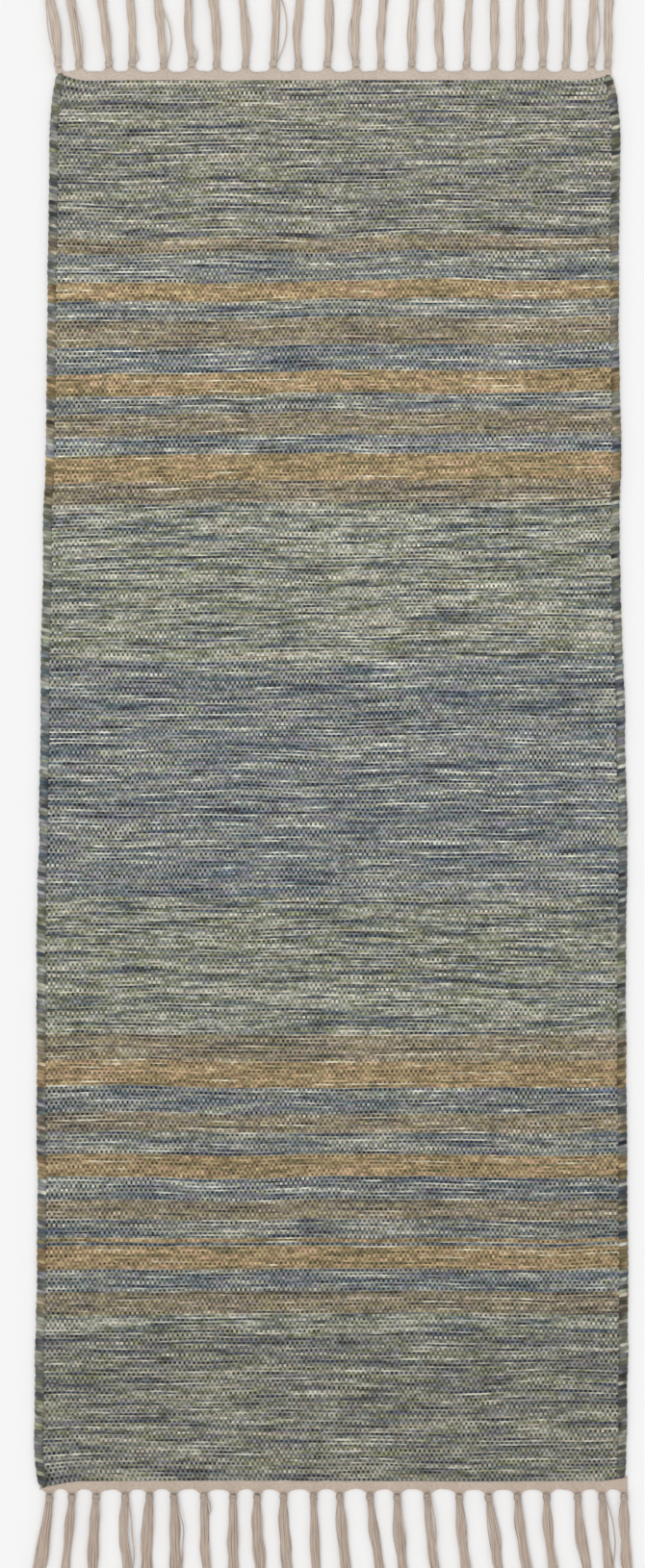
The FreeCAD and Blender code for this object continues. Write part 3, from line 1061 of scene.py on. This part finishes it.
def knot_paths(knot, sign, rng):
    """Paths and radii of the strands wrapped round the bundle, slanting as a tied knot does."""
    t = np.linspace(0, 1, KNOT_RINGS + 1)
    hand = rng.choice([-1, 1])
    made = []
    for strand in range(KNOT_STRANDS):
        turn = hand * 2 * np.pi * (KNOT_TURNS * t + KNOT_START) + rng.uniform(-0.2, 0.2)
        off_middle = strand - (KNOT_STRANDS - 1) / 2
        place = off_middle * KNOT_PITCH + (t - 0.5) * KNOT_SLANT
        swell = np.sin(np.pi * np.clip(t, 0.03, 0.97)) ** KNOT_ROUND * (1 - KNOT_WAIST * abs(off_middle))
        x = knot.x + KNOT_HALF_WIDE * swell * np.cos(turn)
        z = knot.z + KNOT_HALF_HIGH * swell * np.sin(turn)
        y = abs(knot.y) + place
        path = np.stack([x, sign * y, z], axis=1)
        made.append((path, np.full(len(t), KNOT_STRAND_RADIUS), 1.0))
    return made


def strand_points(path, radius, flat, sides):
    """A strand's ring points, spread across the rug where flat is more than 1."""
    points = tube_points(path, radius, sides)
    middle = path[:, None, 0]
    points[..., 0] = middle + (points[..., 0] - middle) * np.reshape(flat, (-1, 1))
    return points


def tassel_piece(end_name, number, sign, knot):
    """One knot and its tassel, from separate plied strands."""
    node = f"tassel_{end_name}_{number:02d}"
    rng = np.random.default_rng(1000 * (sign + 2) + number)
    points = cad_points(node)
    tip_x = float(points[np.abs(points[:, 1]) > FRINGE_END - MM][:, 0].mean())
    groups = [(bundle_paths(end_name, number, knot, tip_x, sign, rng), TASSEL_SIDES, TASSEL_RINGS),
              (knot_paths(knot, sign, rng), TASSEL_SIDES + 1, KNOT_RINGS)]
    bm = bmesh.new()
    rows = []
    maps = []
    for paths, sides, rings in groups:
        for path, radius, flat in paths:
            made = bmesh.ops.create_grid(bm, x_segments=sides, y_segments=rings, size=0.5)["verts"]
            ring_points = strand_points(path, radius, flat, sides)
            tone = rng.uniform(0, 1)
            for vertex in made:
                column = round((vertex.co.x + 0.5) * sides)
                ring = round((vertex.co.y + 0.5) * rings)
                rows.append(ring_points[ring, column])
                maps.append((tone + TONE_STEP * column / sides, path[ring][1]))
    piece = new_piece(f"{node}_strands", bm, FRINGE, node)
    rows = np.array(rows)
    maps = np.array(maps)
    set_places(piece, rows[:, 0], rows[:, 1], rows[:, 2])
    set_map(piece, maps[:, 0], maps[:, 1])
    turn_outward(piece, rolled=True)
    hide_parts(node)
    return piece


def make_fringe():
    """Each end's heading and tassels."""
    made = {}
    for end_name, sign in SIDES.items():
        pieces = [heading_piece(end_name, sign)]
        for number, knot in enumerate(knot_places(end_name), start=1):
            pieces.append(tassel_piece(end_name, number, sign, knot))
        made[end_name] = pieces
    return made


EDGES = make_selvedges()
ENDS_OF_RUG = make_fringe()


def declare_sheets():
    """Gathers each stretch of the field with its edges, and at the ends the fringe; the lists are not used
    further.
    """
    for name, (piece, low_line, high_line) in CLOTH.items():
        goes = [EDGES[name, "left"], EDGES[name, "right"]]
        for end_name in SIDES:
            if name == f"{end_name}_3":
                goes += ENDS_OF_RUG[end_name]


declare_sheets()


# ================================================================ floor, light, camera
FLOOR_HALF = 300.0
SKY_LIGHT = 0.835
SOFTBOX_LIGHT = 0.68
SOFTBOX_ANGLE = math.radians(35)
SOFTBOX_TURN = (math.radians(38), 0, math.radians(-25))
CAMERA_DISTANCE = 3.2
CAMERA_TILT = math.radians(1.2)
VIEW_LONG = 1.6255             # length along the rug that the camera takes in
AIM = Vector((-0.010, -0.007, 0))
SENSOR = 36
FLOOR_PAINT = (0.92, 0.92, 0.92, 1)


def make_stage():
    """A plain pale floor."""
    bm = bmesh.new()
    bmesh.ops.create_grid(bm, x_segments=1, y_segments=1, size=FLOOR_HALF)
    mesh = bpy.data.meshes.new("floor")
    bm.to_mesh(mesh)
    bm.free()
    floor = bpy.data.objects.new("floor", mesh)
    bpy.context.scene.collection.objects.link(floor)
    n = Nodes("pale_floor")
    shader = n.add("ShaderNodeBsdfPrincipled")
    shader.inputs["Base Color"].default_value = FLOOR_PAINT
    shader.inputs["Roughness"].default_value = 0.9
    shader.inputs["Specular IOR Level"].default_value = 0.1
    mesh.materials.append(n.surface(shader))


def make_light():
    """An even sky and one large soft lamp."""
    world = bpy.data.worlds.new("studio")
    bpy.context.scene.world = world
    world.use_nodes = True
    back = world.node_tree.nodes["Background"]
    back.inputs[0].default_value = (1.0, 1.0, 1.0, 1)
    back.inputs[1].default_value = SKY_LIGHT
    sun = bpy.data.lights.new("softbox", "SUN")
    sun.energy = SOFTBOX_LIGHT
    sun.angle = SOFTBOX_ANGLE
    lamp = bpy.data.objects.new("softbox", sun)
    lamp.rotation_euler = SOFTBOX_TURN
    bpy.context.scene.collection.objects.link(lamp)


def make_camera():
    """A camera almost straight above the rug."""
    camera_data = bpy.data.cameras.new("camera")
    camera_data.sensor_width = SENSOR
    camera_data.lens = SENSOR * CAMERA_DISTANCE / VIEW_LONG
    camera = bpy.data.objects.new("camera", camera_data)
    back = Vector((0, -math.sin(CAMERA_TILT), math.cos(CAMERA_TILT)))
    camera.location = AIM + back * CAMERA_DISTANCE
    camera.rotation_euler = (CAMERA_TILT, 0, 0)
    bpy.context.scene.collection.objects.link(camera)
    bpy.context.scene.camera = camera
    bpy.context.scene.view_settings.view_transform = "Standard"


make_stage()
make_light()
make_camera()
